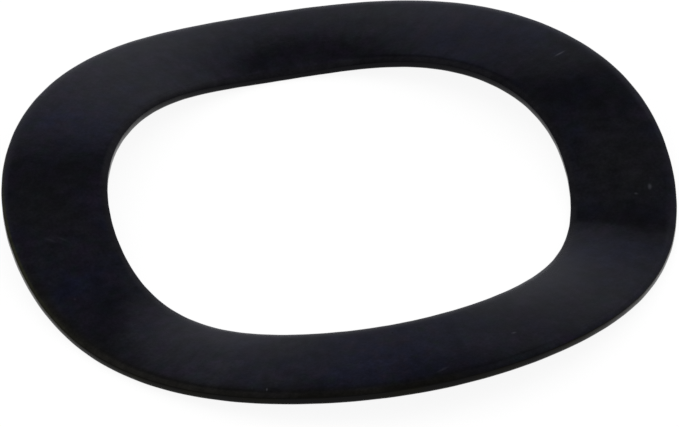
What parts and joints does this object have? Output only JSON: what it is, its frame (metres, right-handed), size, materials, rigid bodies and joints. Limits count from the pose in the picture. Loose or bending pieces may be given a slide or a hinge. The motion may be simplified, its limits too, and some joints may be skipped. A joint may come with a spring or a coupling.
{
  "type": "wave washer",
  "caption": "Thin round spring washer formed into gentle waves round a plain bore, with rolled and tumbled edges, in blued spring steel.",
  "frame": {"origin": "on the axis of the bore, in the plane that the troughs rest on", "axes": "+Z along the bore axis, up from the troughs towards the crests; +X is free, and lies 8 degrees past the last trough, with the crests at 57, 168 and 293 degrees from it"},
  "size_m": [0.0208, 0.0208, 0.0014],
  "materials": {
    "blued_steel": "blue-black oxide on tumbled spring steel, satin and faintly mottled"
  },
  "bodies": {
    "root": {"wave_washer": "blued_steel"}
  },
  "joints": []
}
